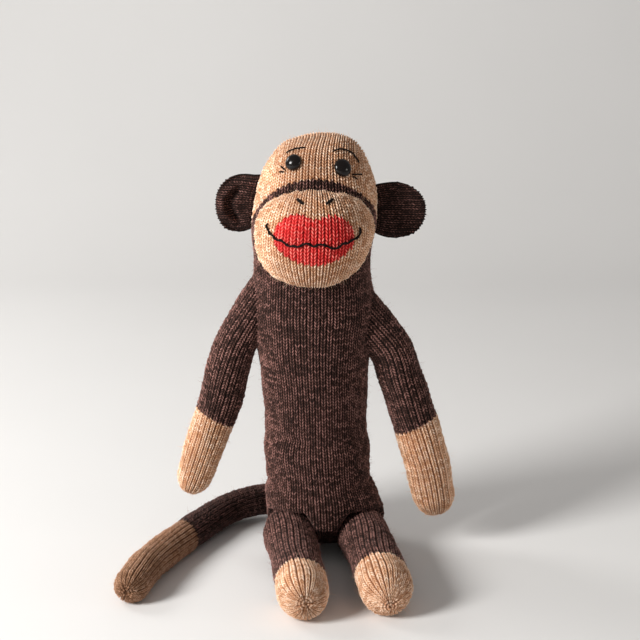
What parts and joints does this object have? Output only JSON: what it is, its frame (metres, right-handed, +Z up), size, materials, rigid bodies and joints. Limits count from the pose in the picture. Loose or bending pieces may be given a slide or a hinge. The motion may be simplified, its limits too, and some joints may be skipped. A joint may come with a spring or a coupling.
{
  "type": "sock monkey doll",
  "caption": "Sitting stuffed toy monkey sewn from knitted socks, with a red-lipped muzzle, button eyes, cloth ears, limp arms and legs and a long tail.",
  "frame": {"origin": "on the flat of the seat, between the legs' roots, at the level of the surface the doll sits on", "axes": "+Z up, +Y to the back, -Y the way the face and the legs point; left means -X, as seen from the front"},
  "size_m": [0.2599, 0.2169, 0.3364],
  "materials": {
    "brown_knit": "matte marled dark brown knit",
    "tan_knit": "matte ribbed tan knit",
    "red_knit": "matte red knit",
    "fibre_fill": "loose white fibre",
    "black_thread": "matte cotton thread",
    "eye_plastic": "gloss",
    "washer_plastic": "matte"
  },
  "bodies": {
    "torso": {"body_skin": "brown_knit", "body_stuffing": "fibre_fill"},
    "head": {"neck_skin": "brown_knit", "crown_skin": "tan_knit", "head_stuffing": "fibre_fill", "muzzle_skin": "tan_knit", "lips": "red_knit", "muzzle_stuffing": "fibre_fill", "mouth_thread": "black_thread", "nostril_left": "black_thread", "brow_left": "black_thread", "lash_left_upper": "black_thread", "lash_left_lower": "black_thread", "eye_left": "eye_plastic", "eye_washer_left": "washer_plastic", "nostril_right": "black_thread", "brow_right": "black_thread", "lash_right_upper": "black_thread", "lash_right_lower": "black_thread", "eye_right": "eye_plastic", "eye_washer_right": "washer_plastic"},
    "ear_left": {"ear_gather_left": "brown_knit", "ear_left_front": "brown_knit", "ear_left_back": "brown_knit"},
    "arm_left": {"arm_sleeve_left": "brown_knit", "hand_left": "tan_knit", "arm_stuffing_left": "fibre_fill"},
    "leg_left": {"leg_sleeve_left": "brown_knit", "foot_left": "tan_knit", "leg_stuffing_left": "fibre_fill"},
    "ear_right": {"ear_gather_right": "brown_knit", "ear_right_front": "brown_knit", "ear_right_back": "brown_knit"},
    "arm_right": {"arm_sleeve_right": "brown_knit", "hand_right": "tan_knit", "arm_stuffing_right": "fibre_fill"},
    "leg_right": {"leg_sleeve_right": "brown_knit", "foot_right": "tan_knit", "leg_stuffing_right": "fibre_fill"},
    "tail": {"tail_sleeve": "brown_knit", "tail_tip": "tan_knit", "tail_stuffing": "fibre_fill"}
  },
  "joints": [
    {"name": "neck_nod", "type": "hinge", "parent": "torso", "child": "head", "pos_m": [-0.00275, 0, 0.1755], "axis": [1, 0, 0], "range_deg": [-15, 20], "stiffness_Nm_per_rad": 1},
    {"name": "shoulder_left", "type": "hinge", "parent": "torso", "child": "arm_left", "pos_m": [-0.04676, 0, 0.197], "axis": [-1, 0, 0], "range_deg": [-60, 115]},
    {"name": "shoulder_right", "type": "hinge", "parent": "torso", "child": "arm_right", "pos_m": [0.04129, 0, 0.197], "axis": [-1, 0, 0], "range_deg": [-60, 115]},
    {"name": "hip_left", "type": "hinge", "parent": "torso", "child": "leg_left", "pos_m": [-0.02597, -0.02, 0.0193], "axis": [-1, 0, 0], "range_deg": [-85, 20]},
    {"name": "hip_right", "type": "hinge", "parent": "torso", "child": "leg_right", "pos_m": [0.03203, -0.02, 0.0193], "axis": [-1, 0, 0], "range_deg": [-85, 20]},
    {"name": "tail_swing", "type": "hinge", "parent": "torso", "child": "tail", "pos_m": [-0.005, 0.0458, 0.0225], "axis": [0, 0, 1], "range_deg": [-120, 0]},
    {"name": "ear_fold_left", "type": "hinge", "parent": "head", "child": "ear_left", "pos_m": [-0.05196, 0, 0.282], "axis": [0, 0, 1], "range_deg": [-25, 25], "stiffness_Nm_per_rad": 0.05},
    {"name": "ear_fold_right", "type": "hinge", "parent": "head", "child": "ear_right", "pos_m": [0.04799, 0, 0.2778], "axis": [0, 0, 1], "range_deg": [-25, 25], "stiffness_Nm_per_rad": 0.05}
  ]
}
